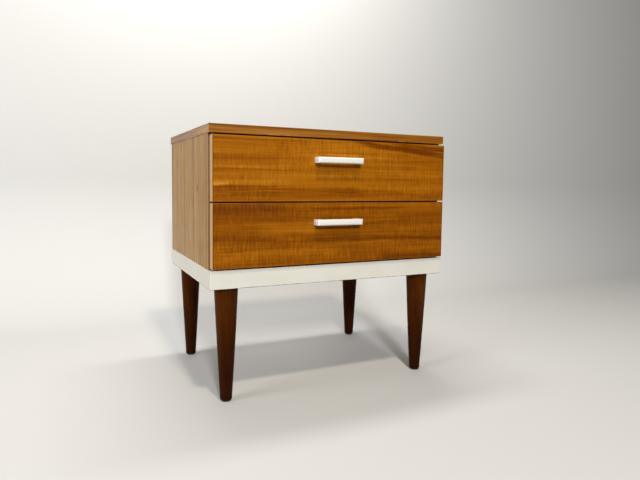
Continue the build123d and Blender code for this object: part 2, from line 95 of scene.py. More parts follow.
# ---------------------------------------------------------------- short ways to add shader nodes
class Net:
    """Adds nodes to one material or node group."""

    def __init__(self, tree):
        self.tree = tree

    def feed(self, socket, value):
        if isinstance(value, bpy.types.NodeSocket):
            self.tree.links.new(value, socket)
        else:
            socket.default_value = value

    def put(self, kind, values=(), **settings):
        """A node with its settings. Values go to its inputs, by name or number."""
        node = self.tree.nodes.new("ShaderNode" + kind)
        for name, setting in settings.items():
            setattr(node, name, setting)
        for key, value in dict(values).items():
            self.feed(node.inputs[key], value)
        return node

    def math(self, operation, *values):
        return self.put("Math", enumerate(values), operation=operation).outputs[0]

    def total(self, first, *weighted):
        """first plus each (value, weight)."""
        answer = first
        for value, weight in weighted:
            answer = self.math("MULTIPLY_ADD", value, weight, answer)
        return answer

    def vector(self, operation, *values):
        return self.put("VectorMath", enumerate(values), operation=operation).outputs[0]

    def split(self, vector):
        return self.put("SeparateXYZ", {0: vector}).outputs

    def join(self, *parts):
        return self.put("CombineXYZ", enumerate(parts)).outputs[0]

    def stretch(self, vector, *factors):
        return self.vector("MULTIPLY", vector, factors)

    def noise(self, vector, detail=2.0, roughness=0.5):
        values = {"Vector": vector, "Scale": 1.0, "Detail": detail, "Roughness": roughness}
        return self.put("TexNoise", values).outputs["Fac"]

    def cells(self, vector, output="Distance"):
        return self.put("TexVoronoi", {"Vector": vector, "Scale": 1.0}).outputs[output]

    def fade(self, value, start, end):
        """0 at start, 1 at end, and smooth between them."""
        values = {"Value": value, "From Min": start, "From Max": end}
        return self.put("MapRange", values, interpolation_type="SMOOTHSTEP").outputs[0]

    def centred(self, value):
        """A 0 to 1 pattern turned into -0.5 to 0.5."""
        return self.math("SUBTRACT", value, 0.5)

    def blend(self, mask, under, over):
        """The colour over, laid on the colour under where the mask is 1."""
        return self.put("Mix", {0: mask, 6: under, 7: over}, data_type="RGBA").outputs[2]

    def tint(self, mask, strength, under, over):
        return self.blend(self.math("MULTIPLY", mask, strength), under, over)

    def ramp(self, value, stops):
        """stops are (place, colour) pairs."""
        node = self.put("ValToRGB", {0: value})
        elements = node.color_ramp.elements
        while len(elements) < len(stops):
            elements.new(1.0)
        for element, (place, colour) in zip(elements, stops):
            element.position = place
            element.color = colour
        return node.outputs[0]

    def use(self, group, **values):
        """A copy of a node group. Its inputs are named in lower case with _ for a space."""
        node = self.tree.nodes.new("ShaderNodeGroup")
        node.node_tree = group
        for name, value in values.items():
            self.feed(node.inputs[name.replace("_", " ").title()], value)
        return node.outputs


def new_group(name, inputs, outputs):
    """An empty node group, its net, and the sockets that it reads and answers with."""
    group = bpy.data.node_groups.new(name, "ShaderNodeTree")
    for label, start in inputs.items():
        kind = "NodeSocketVector" if isinstance(start, tuple) else "NodeSocketFloat"
        group.interface.new_socket(label, in_out="INPUT", socket_type=kind).default_value = start
    for label, kind in outputs.items():
        group.interface.new_socket(label, in_out="OUTPUT", socket_type="NodeSocket" + kind)
    net = Net(group)
    given = group.nodes.new("NodeGroupInput").outputs
    answer = group.nodes.new("NodeGroupOutput").inputs
    return group, net, given, answer


# ---------------------------------------------------------------- effects shared by several materials
def make_veneer_figure():
    """Long streaks, fine lines, ripple across the grain and pores, for grain along X."""
    inputs = {"Vector": (0.0, 0.0, 0.0), "Streak Width": 0.018, "Wander": 0.008, "Ripple Pitch": 0.008}
    outputs = {"Streaks": "Float", "Lines": "Float", "Ripple": "Float", "Pores": "Float"}
    group, net, given, answer = new_group("Veneer figure", inputs, outputs)
    along, across, depth = net.split(given["Vector"])
    sway = net.centred(net.noise(net.stretch(given["Vector"], 2.6, 11.0, 11.0)))
    swayed = net.math("MULTIPLY_ADD", sway, given["Wander"], across)

    streak_row = net.math("DIVIDE", swayed, given["Streak Width"])
    streak_place = net.join(net.math("MULTIPLY", along, 2.4), streak_row, net.math("MULTIPLY", depth, 60.0))
    net.feed(answer["Streaks"], net.noise(streak_place, 4.0, 0.55))

    swayed_place = net.join(along, swayed, depth)
    net.feed(answer["Lines"], net.noise(net.stretch(swayed_place, 8.0, 620.0, 620.0), 3.0, 0.6))

    turns = net.math("DIVIDE", net.math("MULTIPLY", along, 2 * math.pi), given["Ripple Pitch"])
    slips = net.noise(net.stretch(given["Vector"], 30.0, 16.0, 16.0), 2.0)
    wave = net.math("SINE", net.math("MULTIPLY_ADD", slips, 14.0, turns))
    uneven = net.noise(net.stretch(given["Vector"], 210.0, 48.0, 48.0), 2.0, 0.6)
    bars = net.total(net.math("MULTIPLY", net.centred(uneven), 1.6), (wave, 0.12))
    patches = net.fade(net.noise(net.stretch(given["Vector"], 7.0, 24.0, 24.0), 2.0), 0.28, 0.56)
    net.feed(answer["Ripple"], net.math("MULTIPLY", bars, patches))

    pores = net.noise(net.stretch(swayed_place, 170.0, 2800.0, 2800.0), 1.0)
    net.feed(answer["Pores"], net.fade(pores, 0.60, 0.72))
    return group


def make_laid_streak():
    """One dark streak laid along X at a height, which may slope and bow, and fades at its ends."""
    inputs = {
        "Vector": (0.0, 0.0, 0.0), "Height": 0.0, "Slope": 0.0, "Bow": 0.0,
        "Width": 0.006, "Left": -0.3, "Right": 0.3, "Fade": 0.05,
    }
    group, net, given, answer = new_group("Laid streak", inputs, {"Mask": "Float"})
    along, across, _ = net.split(given["Vector"])
    centre = net.math("MULTIPLY_ADD", along, given["Slope"], given["Height"])
    centre = net.math("MULTIPLY_ADD", net.math("MULTIPLY", along, along), given["Bow"], centre)
    wobble = net.centred(net.noise(net.stretch(given["Vector"], 16.0, 30.0, 0.0), 2.0))
    centre = net.math("MULTIPLY_ADD", wobble, given["Width"], centre)
    off_centre = net.math("ABSOLUTE", net.math("SUBTRACT", across, centre))
    body = net.fade(net.math("DIVIDE", off_centre, given["Width"]), 1.0, 0.15)
    from_left = net.fade(along, given["Left"], net.math("ADD", given["Left"], given["Fade"]))
    to_right = net.fade(along, given["Right"], net.math("SUBTRACT", given["Right"], given["Fade"]))
    broken = net.fade(net.noise(net.stretch(given["Vector"], 9.0, 420.0, 0.0), 3.0), 0.15, 0.55)
    left_part = net.math("MULTIPLY", body, from_left)
    right_part = net.math("MULTIPLY", to_right, broken)
    net.feed(answer["Mask"], net.math("MULTIPLY", left_part, right_part))
    return group


def make_box_edge():
    """1 along the edges of a box-shaped piece, fading to 0 at a width away from them."""
    inputs = {"Vector": (0.0, 0.0, 0.0), "Low": (0.0, 0.0, 0.0), "High": (1.0, 1.0, 1.0), "Width": 0.002}
    group, net, given, answer = new_group("Box edge", inputs, {"Edge": "Float"})
    above = net.vector("SUBTRACT", given["Vector"], given["Low"])
    below = net.vector("SUBTRACT", given["High"], given["Vector"])
    x, y, z = net.split(net.vector("MINIMUM", above, below))
    nearer = net.math("MINIMUM", x, y)
    farther = net.math("MAXIMUM", x, y)
    second = net.math("MAXIMUM", nearer, net.math("MINIMUM", farther, z))
    net.feed(answer["Edge"], net.fade(second, given["Width"], 0.0))
    return group


def make_handling_marks():
    """Smudges where hands have been, and fine scratches in two directions."""
    inputs = {"Vector": (0.0, 0.0, 0.0), "Size": 0.035}
    outputs = {"Smudges": "Float", "Scratches": "Float"}
    group, net, given, answer = new_group("Handling marks", inputs, outputs)
    size = given["Size"]
    place = net.vector("DIVIDE", given["Vector"], net.join(size, size, size))
    net.feed(answer["Smudges"], net.fade(net.noise(place, 4.0, 0.6), 0.40, 0.68))
    rays = []
    for turn in (0.5, -0.9):
        turned = net.put("Mapping", {"Vector": given["Vector"], "Rotation": (turn, turn, turn)}).outputs[0]
        rays.append(net.fade(net.noise(net.stretch(turned, 22.0, 1500.0, 1500.0), 1.0), 0.70, 0.78))
    net.feed(answer["Scratches"], net.math("MAXIMUM", rays[0], rays[1]))
    return group


def make_end_grain():
    """Where a face cuts across the grain, and the growth rings that show there."""
    inputs = {"Vector": (0.0, 0.0, 0.0), "Normal": (0.0, 0.0, 1.0), "Grain": (1.0, 0.0, 0.0)}
    group, net, given, answer = new_group("End grain", inputs, {"Mask": "Float", "Rings": "Float"})
    facing = net.put("VectorMath", {0: given["Normal"], 1: given["Grain"]}, operation="DOT_PRODUCT")
    net.feed(answer["Mask"], net.fade(net.math("ABSOLUTE", facing.outputs["Value"]), 0.70, 0.90))
    warped = net.vector("ADD", given["Vector"], net.stretch(given["Normal"], 0.002, 0.002, 0.002))
    far = net.put("VectorMath", {0: warped, 1: (0.06, 0.09, -0.05)}, operation="DISTANCE").outputs["Value"]
    waves = net.math("SINE", net.math("MULTIPLY", far, 1900.0))
    speckle = net.noise(net.stretch(given["Vector"], 2600.0, 2600.0, 2600.0), 1.0)
    net.feed(answer["Rings"], net.total(0.5, (waves, 0.22), (net.centred(speckle), 0.6)))
    return group


def make_beech_flecks():
    """The short dark flecks and the quiet growth bands of planed beech, for grain along X."""
    group, net, given, answer = new_group(
        "Beech flecks", {"Vector": (0.0, 0.0, 0.0)}, {"Flecks": "Float", "Bands": "Float"})
    sway = net.noise(net.stretch(given["Vector"], 9.0, 30.0, 30.0), 1.0)
    shifted = net.vector("ADD", given["Vector"], net.join(0.0, net.math("MULTIPLY", sway, 0.01), 0.0))
    flecks = net.cells(net.stretch(shifted, 420.0, 1500.0, 1500.0))
    net.feed(answer["Flecks"], net.fade(flecks, 0.32, 0.12))
    net.feed(answer["Bands"], net.noise(net.stretch(shifted, 4.0, 150.0, 150.0), 3.0, 0.6))
    return group


def make_chipboard():
    """Pressed chips, as they show on a board's raw edge."""
    group, net, given, answer = new_group(
        "Chipboard", {"Vector": (0.0, 0.0, 0.0)}, {"Chips": "Float", "Gaps": "Float"})
    bends = net.put("TexNoise", {"Vector": given["Vector"], "Scale": 420.0}).outputs["Color"]
    bent = net.vector("ADD", given["Vector"], net.stretch(bends, 0.0012, 0.0012, 0.0012))
    flat_chips = net.stretch(bent, 420.0, 420.0, 1250.0)
    net.feed(answer["Chips"], net.split(net.cells(flat_chips, "Color"))[0])
    net.feed(answer["Gaps"], net.fade(net.cells(flat_chips), 0.62, 0.82))
    return group


FIGURE = make_veneer_figure()
STREAK = make_laid_streak()
BOX_EDGE = make_box_edge()
MARKS = make_handling_marks()
END_GRAIN = make_end_grain()
FLECKS = make_beech_flecks()
CHIPBOARD = make_chipboard()


# ---------------------------------------------------------------- materials
def new_material(name):
    material = bpy.data.materials.new(name)
    material.use_nodes = True
    material.node_tree.nodes.clear()
    return material, Net(material.node_tree)


def surface(net, colour, roughness, height=None, depth=0.0001, constants=()):
    """The Principled shader and the output. Height is in parts of depth."""
    shader = net.put("BsdfPrincipled", {"Base Color": colour, "Roughness": roughness})
    for name, value in dict(constants).items():
        shader.inputs[name].default_value = value
    if height is not None:
        bump = net.put("Bump", {"Height": height, "Distance": depth})
        net.feed(shader.inputs["Normal"], bump.outputs[0])
    net.put("OutputMaterial", {"Surface": shader.outputs[0]})


def object_place(net):
    return net.put("TexCoord").outputs["Object"]


def face_normal(net):
    return net.put("TexCoord").outputs["Normal"]


def turned_place(net, turn, seed):
    """Object coordinates turned to the grain, and moved by seed so that pieces differ."""
    values = {"Vector": object_place(net), "Rotation": turn, "Location": seed}
    return net.put("Mapping", values).outputs[0]


def edge_mask(net, box, width):
    low, high = box
    return net.use(BOX_EDGE, vector=object_place(net), low=low, high=high, width=width)["Edge"]


def veneer(name, turn, palette, seed=(0.0, 0.0, 0.0), streak_width=0.018, streaks=1.5, lines=0.45,
           ripple=0.0, shade=0.0, laid=(), roughness=0.36, edges_of=None, raw_edge=None, constants=()):
    """Lacquered veneer.

    laid holds pairs of a strength and a streak's settings. edges_of is the box whose edges are lightened, as
    wear and as a painted highlight on the arrises.
    raw_edge is the axis that a bare chipboard edge faces along.
    """
    material, net = new_material(name)
    place = turned_place(net, turn, seed)
    figure = net.use(FIGURE, vector=place, streak_width=streak_width)
    tone = net.total(
        0.5 + shade,
        (net.centred(figure["Streaks"]), streaks),
        (net.centred(figure["Lines"]), lines),
        (figure["Ripple"], ripple),
    )
    for strength, settings in laid:
        mask = net.use(STREAK, vector=turned_place(net, turn, (0.0, 0.0, 0.0)), **settings)["Mask"]
        tone = net.math("MULTIPLY_ADD", mask, -strength, tone)
    colour = net.ramp(tone, palette)
    colour = net.tint(figure["Pores"], 0.30, colour, palette[0][1])
    marks = net.use(MARKS, vector=object_place(net))
    colour = net.tint(marks["Scratches"], 0.10, colour, palette[-1][1])
    gloss = net.total(roughness, (marks["Smudges"], 0.09), (figure["Pores"], 0.12))
    height = net.total(0.5, (figure["Pores"], -0.5), (net.centred(figure["Lines"]), 0.5))
    if edges_of:
        # lighter along the edges: wear, and a painted highlight where the arrises catch the light
        colour = net.tint(edge_mask(net, edges_of, WORN_AND_LIT_EDGE), 0.35, colour, palette[-1][1])
    if raw_edge:
        colour, gloss = bare_edge(net, colour, gloss, raw_edge)
    surface(net, colour, gloss, height, 0.00006, constants)
    return material


def bare_edge(net, colour, gloss, axis):
    """Shows chipboard instead of veneer on the faces across an axis."""
    chips = net.use(CHIPBOARD, vector=object_place(net))
    chip_colour = net.ramp(chips["Chips"], [
        (0.0, rgb(0.17, 0.095, 0.045)), (0.5, rgb(0.36, 0.24, 0.13)), (1.0, rgb(0.52, 0.38, 0.22))])
    chip_colour = net.tint(chips["Gaps"], 0.6, chip_colour, rgb(0.06, 0.035, 0.02))
    facing = net.math("ABSOLUTE", net.split(face_normal(net))["XYZ".index(axis)])
    bare = net.fade(facing, 0.6, 0.9)
    return net.blend(bare, colour, chip_colour), net.total(gloss, (bare, 0.4))


WALNUT = [
    (0.05, rgb(0.150, 0.036, 0.0005)),
    (0.35, rgb(0.250, 0.070, 0.0008)),
    (0.60, rgb(0.356, 0.112, 0.0020)),
    (0.86, rgb(0.460, 0.160, 0.0060)),
    (1.00, rgb(0.560, 0.240, 0.0300)),
]
TOP_WALNUT = [
    (0.05, rgb(0.165, 0.056, 0.009)),
    (0.40, rgb(0.300, 0.120, 0.022)),
    (0.65, rgb(0.400, 0.172, 0.036)),
    (1.00, rgb(0.540, 0.280, 0.085)),
]
DARK_WALNUT = [
    (0.05, rgb(0.140, 0.038, 0.0015)),
    (0.40, rgb(0.260, 0.088, 0.0055)),
    (0.65, rgb(0.335, 0.128, 0.0120)),
    (1.00, rgb(0.480, 0.225, 0.0450)),
]
PALE_TAN = [
    (0.05, rgb(0.285, 0.120, 0.020)),
    (0.40, rgb(0.375, 0.184, 0.040)),
    (0.65, rgb(0.425, 0.222, 0.055)),
    (1.00, rgb(0.510, 0.300, 0.100)),
]
PALE_EDGING = [
    (0.05, rgb(0.370, 0.195, 0.055)),
    (0.50, rgb(0.565, 0.330, 0.120)),
    (1.00, rgb(0.700, 0.460, 0.210)),
]
# Brown edging for the side panels' front edges: darker wood with painted shade from the gap behind the drawer
# fronts worked into it.
BROWN_EDGING_WITH_GAP_SHADE = [
    (0.05, rgb(0.090, 0.035, 0.012)),
    (0.50, rgb(0.200, 0.090, 0.030)),
    (1.00, rgb(0.330, 0.170, 0.070)),
]
SEALED_BOARD = [
    (0.05, rgb(0.300, 0.170, 0.080)),
    (0.50, rgb(0.440, 0.280, 0.150)),
    (1.00, rgb(0.560, 0.390, 0.230)),
]


def glue_lines(bottom):
    """The face veneer darkens where it meets the edging at either end of a front."""
    middle = bottom + FRONT_HALF_HEIGHT
    return [
        (1.1, dict(height=middle, width=0.3, left=start, right=end, fade=0.0008))
        for start, end in ((-0.2700, -0.2652), (0.2652, 0.2700))
    ]


def upper_front_streaks(bottom):
    """The upper front: a dark band low on the left, streaks running down to the right, and a broad painted
    shade that darkens it towards the right.
    """
    return glue_lines(bottom) + [
        (0.26, dict(height=bottom + 0.0262, slope=-0.012, width=0.0042, left=-0.300, right=-0.120)),
        (0.30, dict(height=bottom + 0.0195, slope=-0.002, width=0.0110, left=-0.320, right=0.080)),
        (0.20, dict(height=bottom + 0.0175, slope=-0.004, width=0.0105, left=-0.060, right=0.400)),
        (0.16, dict(height=bottom + 0.0060, width=0.0110, left=-0.400, right=0.400)),
        (0.66, dict(height=bottom + 0.1215, slope=-0.048, bow=-0.120, width=0.0078, left=0.030, right=0.420)),
        (0.40, dict(height=bottom + 0.1260, slope=-0.050, bow=-0.100, width=0.0030, left=-0.040, right=0.420)),
        (0.52, dict(height=bottom + 0.1290, slope=-0.044, bow=-0.040, width=0.0070, left=0.110, right=0.420)),
        # a broad painted shade, darkening the front towards the right
        (0.10, dict(height=bottom + 0.0600, width=0.0900, left=-0.050, right=0.800, fade=0.250)),
        (0.26, dict(height=bottom + 0.0610, width=0.0035, left=-0.400, right=-0.060)),
        (0.16, dict(height=bottom + 0.0860, width=0.0100, left=-0.400, right=-0.120)),
        (0.24, dict(height=bottom + 0.1190, width=0.0030, left=-0.350, right=-0.050)),
        (-0.48, dict(height=bottom + 0.0362, slope=0.010, width=0.0060, left=-0.320, right=-0.220, fade=0.045)),
        (-0.13, dict(height=bottom + 0.1000, width=0.0240, left=-0.130, right=0.160)),
    ]


def lower_front_streaks(bottom):
    """The lower front: streaks at mid height from both ends, and a dark lower right corner."""
    return glue_lines(bottom) + [
        (0.28, dict(height=bottom + 0.0500, slope=-0.025, width=0.0070, left=-0.400, right=-0.120)),
        (0.32, dict(height=bottom + 0.0560, slope=-0.052, width=0.0080, left=0.060, right=0.400)),
        (0.22, dict(height=bottom + 0.0500, width=0.0090, left=-0.100, right=0.120)),
        (0.32, dict(height=bottom + 0.0070, width=0.0110, left=0.080, right=0.400)),
        (0.18, dict(height=bottom + 0.1120, width=0.0160, left=-0.400, right=-0.100)),
        (0.26, dict(height=bottom + 0.1130, width=0.0050, left=-0.080, right=0.180)),
        (-0.24, dict(height=bottom + 0.0720, width=0.0200, left=-0.190, right=-0.020)),
        (-0.24, dict(height=bottom + 0.0260, width=0.0120, left=-0.400, right=0.020)),
    ]


def top_edge_streaks(bottom):
    """The front edge of the top: knocked light on its lower arris in three places."""
    knocks = ((-0.158, -0.128), (-0.118, -0.108), (0.146, 0.168))
    return [
        (-0.70, dict(height=bottom + 0.0008, width=0.0016, left=start, right=end, fade=0.005))
        for start, end in knocks
    ]


def left_panel_streaks(low, high):
    """The left panel: a painted shade stripe along its back edge, darker stripes near its front edge, a small
    knot and two faint stains.

    Along is up here, and height says how far back a stripe is.
    """
    knot = dict(height=high.y - 0.270, width=0.0095, left=high.z - 0.1170, right=high.z - 0.0950, fade=0.0110)
    return [
        # painted shade along the back edge
        (0.34, dict(height=high.y - 0.0120, width=0.0080, left=-1.0, right=1.0)),
        (0.20, dict(height=low.y + 0.0070, width=0.0100, left=-1.0, right=1.0)),
        (0.22, dict(height=low.y + 0.0400, width=0.0070, left=-1.0, right=1.0)),
        (0.20, dict(height=high.y - 0.1450, width=0.0160, left=0.260, right=0.470)),
        (-0.18, dict(height=high.y - 0.0900, width=0.0200, left=-1.0, right=1.0)),
        (1.50, knot),
        (0.36, dict(height=high.y - 0.2130, left=0.392, right=0.424, fade=0.012, width=0.0080)),
        (0.30, dict(height=high.y - 0.2300, left=0.378, right=0.402, fade=0.010, width=0.0060)),
    ]


def white_lacquer(name, turn, node):
    """Brushed off-white lacquer, scuffed, and worn through along the lower edge."""
    material, net = new_material(name)
    place = turned_place(net, turn, (0.0, 0.0, 0.0))
    low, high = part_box(node)
    height_up = net.split(object_place(net))[2]
    brushed = net.noise(net.stretch(place, 11.0, 950.0, 950.0), 3.0, 0.6)
    clouds = net.noise(net.stretch(place, 9.0, 26.0, 26.0), 3.0, 0.6)
    marks = net.use(MARKS, vector=object_place(net), size=0.018)
    colour = net.ramp(clouds, [(0.25, rgb(0.740, 0.712, 0.622)), (0.75, rgb(0.815, 0.795, 0.715))])
    rubbed = net.noise(net.stretch(place, 60.0, 260.0, 260.0), 3.0, 0.7)
    scuffed = net.math("MULTIPLY", net.fade(rubbed, 0.62, 0.78), marks["Smudges"])
    colour = net.tint(scuffed, 0.45, colour, rgb(0.46, 0.42, 0.34))
    colour = net.tint(marks["Scratches"], 0.22, colour, rgb(0.42, 0.38, 0.31))
    ragged = net.noise(net.stretch(place, 55.0, 55.0, 55.0), 3.0, 0.7)
    wear_top = net.math("MULTIPLY_ADD", ragged, 0.0024, low.z - 0.0002)
    bare = net.fade(height_up, wear_top, net.math("SUBTRACT", wear_top, 0.0004))
    knocked = net.math("MULTIPLY", edge_mask(net, (low, high), 0.0016), net.fade(ragged, 0.60, 0.66))
    bare = net.math("MAXIMUM", bare, knocked)
    colour = net.blend(bare, colour, rgb(0.145, 0.070, 0.030))
    gloss = net.total(0.34, (marks["Smudges"], 0.12), (bare, 0.3))
    film = net.total(0.5, (net.centred(brushed), 0.8), (bare, -0.8), (scuffed, -0.3))
    surface(net, colour, gloss, film, 0.00009)
    return material


def leg_stain():
    """Dark stain over turned wood: grain up the leg, faint turning rings, painted light that lightens it
    towards the head, and a foot that is darker and duller near the floor.
    """
    material, net = new_material("leg_dark_stain")
    place = turned_place(net, ALONG_Z, (0.0, 0.0, 0.0))
    figure = net.use(FIGURE, vector=place, streak_width=0.007, wander=0.006)
    up = net.split(object_place(net))[2]
    # painted light: lighter towards the head, where the upper leg catches more light
    painted_light_towards_head = net.fade(up, 0.02, 0.23)
    tone = net.total(0.28, (net.centred(figure["Streaks"]), 0.8), (net.centred(figure["Lines"]), 0.7),
                     (painted_light_towards_head, 0.50))
    colour = net.ramp(tone, [
        (0.10, rgb(0.019, 0.0036, 0.0002)),
        (0.50, rgb(0.042, 0.0088, 0.0004)),
        (0.95, rgb(0.092, 0.0235, 0.0012))])
    colour = net.tint(figure["Pores"], 0.25, colour, rgb(0.010, 0.003, 0.0005))
    # darker and duller within 20 mm of the floor
    darker_near_floor = net.fade(up, 0.020, 0.003)
    colour = net.tint(darker_near_floor, 0.7, colour, rgb(0.012, 0.005, 0.003))
    rings = net.noise(net.join(0.0, 0.0, net.math("MULTIPLY", up, 900.0)), 2.0)
    marks = net.use(MARKS, vector=object_place(net), size=0.020)
    knocks = net.math("MULTIPLY", marks["Scratches"], net.fade(up, 0.14, 0.02))
    colour = net.tint(knocks, 0.4, colour, rgb(0.20, 0.085, 0.028))
    gloss = net.total(0.27, (marks["Smudges"], 0.12), (darker_near_floor, 0.25))
    height = net.total(0.5, (net.centred(rings), 0.5), (figure["Pores"], -0.4))
    surface(net, colour, gloss, height, 0.00003, {"Specular IOR Level": 0.035})
    return material


def handle_white():
    """Glossy white moulding with a few grimy smudges and fine scratches."""
    material, net = new_material("handle_white")
    marks = net.use(MARKS, vector=object_place(net), size=0.012)
    soft = net.noise(net.stretch(object_place(net), 260.0, 260.0, 260.0), 2.0)
    colour = net.tint(marks["Smudges"], 0.25, rgb(0.885, 0.875, 0.835), rgb(0.80, 0.775, 0.70))
    colour = net.tint(marks["Scratches"], 0.20, colour, rgb(0.60, 0.56, 0.48))
    gloss = net.total(0.20, (marks["Smudges"], 0.10), (marks["Scratches"], 0.2))
    surface(net, colour, gloss, net.total(0.5, (net.centred(soft), 0.6), (marks["Scratches"], -0.2)), 0.00004)
    return material


def beech(name, turn, grain, seed=(0.0, 0.0, 0.0), tint=1.0):
    """Bare planed beech, with end grain where a face cuts across it."""
    material, net = new_material(name)
    place = turned_place(net, turn, seed)
    wood = net.use(FLECKS, vector=place)
    tone = net.total(0.5, (net.centred(wood["Bands"]), 1.3))
    colour = net.ramp(tone, [
        (0.15, rgb(0.430 * tint, 0.250 * tint, 0.120 * tint)),
        (0.55, rgb(0.590 * tint, 0.390 * tint, 0.215 * tint)),
        (0.95, rgb(0.690 * tint, 0.500 * tint, 0.310 * tint))])
    colour = net.tint(wood["Flecks"], 0.35, colour, rgb(0.270, 0.130, 0.055))
    ends = net.use(END_GRAIN, vector=object_place(net), normal=face_normal(net), grain=grain)
    end_colour = net.ramp(ends["Rings"], [
        (0.2, rgb(0.220, 0.110, 0.048)), (0.8, rgb(0.460, 0.270, 0.130))])
    colour = net.blend(ends["Mask"], colour, end_colour)
    marks = net.use(MARKS, vector=object_place(net), size=0.05)
    colour = net.tint(marks["Smudges"], 0.16, colour, rgb(0.300, 0.190, 0.110))
    gloss = net.total(0.52, (marks["Smudges"], 0.12), (ends["Mask"], 0.15))
    height = net.total(0.5, (net.centred(wood["Bands"]), 0.6), (wood["Flecks"], -0.3))
    surface(net, colour, gloss, height, 0.00008)
    return material


def hardboard(name, screen_side):
    """Smooth pressed fibre. On its rear face it shows the press screen's mesh."""
    material, net = new_material(name)
    place = object_place(net)
    fibres = net.noise(net.stretch(place, 260.0, 260.0, 260.0), 4.0, 0.7)
    clouds = net.noise(net.stretch(place, 14.0, 14.0, 14.0), 3.0)
    tone = net.total(0.5, (net.centred(fibres), 0.9), (net.centred(clouds), 0.6))
    colour = net.ramp(tone, [
        (0.2, rgb(0.085, 0.043, 0.020)), (0.5, rgb(0.165, 0.090, 0.044)), (0.9, rgb(0.270, 0.160, 0.085))])
    marks = net.use(MARKS, vector=place)
    colour = net.tint(marks["Scratches"], 0.35, colour, rgb(0.33, 0.21, 0.12))
    height = net.total(0.5, (net.centred(fibres), 0.5))
    if screen_side:
        pitch = 2 * math.pi / SCREEN_MESH
        x, _, z = net.split(place)
        weave = net.math("MULTIPLY", net.math("SINE", net.math("MULTIPLY", x, pitch)),
                         net.math("SINE", net.math("MULTIPLY", z, pitch)))
        rear = net.fade(net.split(face_normal(net))[1], 0.6, 0.9)
        weave = net.math("MULTIPLY", weave, rear)
        height = net.total(height, (weave, 0.5))
        colour = net.blend(net.fade(weave, -0.2, 0.9), colour, rgb(0.085, 0.045, 0.022))
    surface(net, colour, net.total(0.55, (marks["Smudges"], 0.15)), height, 0.00012)
    return material


def zinc_steel():
    """Zinc-plated steel, gone a little dull in patches."""
    material, net = new_material("zinc_plated_steel")
    place = object_place(net)
    dull = net.fade(net.noise(net.stretch(place, 700.0, 700.0, 700.0), 3.0, 0.6), 0.4, 0.7)
    colour = net.blend(dull, rgb(0.62, 0.60, 0.55), rgb(0.34, 0.31, 0.26))
    surface(net, colour, net.total(0.26, (dull, 0.25)), dull, 0.00003, {"Metallic": 1.0})
    return material


def glide_brown():
    """Dark brown plastic, scratched by floors."""
    material, net = new_material("glide_brown")
    marks = net.use(MARKS, vector=object_place(net), size=0.006)
    colour = net.tint(marks["Smudges"], 0.5, rgb(0.018, 0.011, 0.008), rgb(0.055, 0.042, 0.034))
    surface(net, colour, net.total(0.45, (marks["Smudges"], 0.2)), marks["Scratches"], 0.00005)
    return material


# ---------------------------------------------------------------- mesh work
def new_piece(name, bm, material, sharp_above=35.0):
    """A smooth-shaded object from a bmesh, with its place in its mesh."""
    bmesh.ops.recalc_face_normals(bm, faces=bm.faces)
    for face in bm.faces:
        face.smooth = True
    for edge in bm.edges:
        edge.smooth = edge.calc_face_angle(0.0) < math.radians(sharp_above)
    mesh = bpy.data.meshes.new(name)
    bm.to_mesh(mesh)
    bm.free()
    mesh.materials.append(material)
    piece = bpy.data.objects.new(name, mesh)
    bpy.context.scene.collection.objects.link(piece)
    return piece


def soften(bm, edges, offset, segments):
    bmesh.ops.bevel(bm, geom=edges, offset=offset, offset_type="OFFSET", affect="EDGES",
                    segments=segments, profile=0.5, material=-1, clamp_overlap=True)


def block_between(low, high):
    """A bmesh box from corner to corner."""
    bm = bmesh.new()
    bmesh.ops.create_cube(bm, size=1.0)
    size = high - low
    bmesh.ops.scale(bm, vec=size, verts=bm.verts)
    bmesh.ops.translate(bm, vec=(low + high) / 2, verts=bm.verts)
    return bm


def cut_through(bm, point, normal):
    everything = bm.verts[:] + bm.edges[:] + bm.faces[:]
    bmesh.ops.bisect_plane(bm, geom=everything, plane_co=point, plane_no=normal, dist=ON_CUT)


def pull_out(bm, faces, offset):
    """Extrudes a patch of faces by an offset."""
    grown = bmesh.ops.extrude_face_region(bm, geom=faces)["geom"]
    moved = [item for item in grown if isinstance(item, bmesh.types.BMVert)]
    bmesh.ops.translate(bm, vec=offset, verts=moved)
    left_inside = [face for face in faces if face.is_valid]
    bmesh.ops.delete(bm, geom=left_inside, context="FACES")


def bar_handle(drawer, material):
    """One white moulding: a chamfered bar on two feet, with a finger gap behind."""
    node = f"{drawer}_drawer_handle"
    low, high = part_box(node)
    bar_back = low.y + HANDLE_BAR
    bm = block_between(low, Vector((high.x, bar_back, high.z)))
    inner_left, inner_right = low.x + HANDLE_FOOT, high.x - HANDLE_FOOT
    for x in (inner_left, inner_right):
        cut_through(bm, (x, 0.0, 0.0), X_AXIS)
    feet = [
        face for face in bm.faces
        if face.normal.y > 0.9 and not inner_left < face.calc_center_median().x < inner_right
    ]
    pull_out(bm, feet, (0.0, high.y - bar_back, 0.0))
    bmesh.ops.dissolve_limit(bm, angle_limit=FLAT_ANGLE, verts=bm.verts, edges=bm.edges)
    front_rim = [
        edge for edge in bm.edges
        if all(abs(vert.co.y - low.y) < TOUCHING for vert in edge.verts)
    ]
    soften(bm, front_rim, HANDLE_CHAMFER, 1)
    crisp = [edge for edge in bm.edges if edge.calc_face_angle(0.0) > CRISP_ANGLE]
    soften(bm, crisp, HANDLE_SOFTENING, 3)
    piece = new_piece(f"{drawer}_bar_handle", bm, material)
    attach(piece, f"{drawer}_drawer")
    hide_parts(node)


